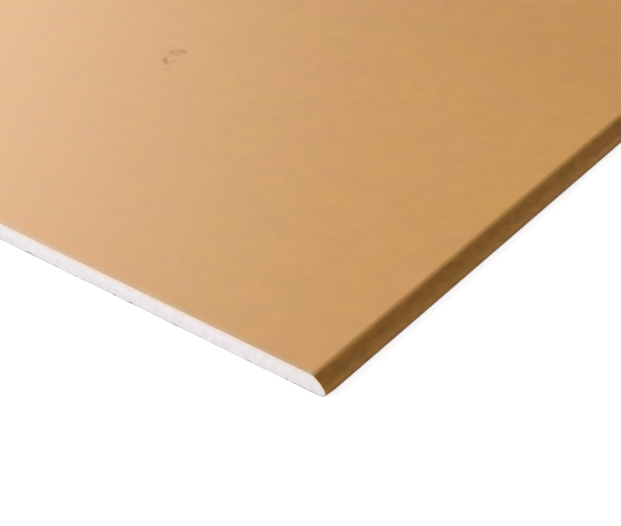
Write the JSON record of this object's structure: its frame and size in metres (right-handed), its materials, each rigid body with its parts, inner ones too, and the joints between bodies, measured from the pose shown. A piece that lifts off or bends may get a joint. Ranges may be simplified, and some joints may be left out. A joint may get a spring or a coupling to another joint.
{
  "type": "drywall sheet",
  "caption": "Flat gypsum board: a white plaster core, brown face paper wrapped round half-round long edges and lapped under the back paper, and square-cut ends left bare.",
  "frame": {"origin": "middle of the back, on the surface the sheet lies on", "axes": "+X across the width, +Y along the length, +Z out of the face"},
  "size_m": [0.625, 2, 0.0125],
  "materials": {
    "gypsum": "matt white set plaster, sawn or snapped at the ends",
    "face_paper": "smooth uncoated brown liner board, light bloom",
    "back_paper": "rougher grey-brown recycled liner board"
  },
  "bodies": {
    "root": {"gypsum_core": "gypsum", "face_paper": "face_paper", "back_paper": "back_paper"}
  },
  "joints": []
}
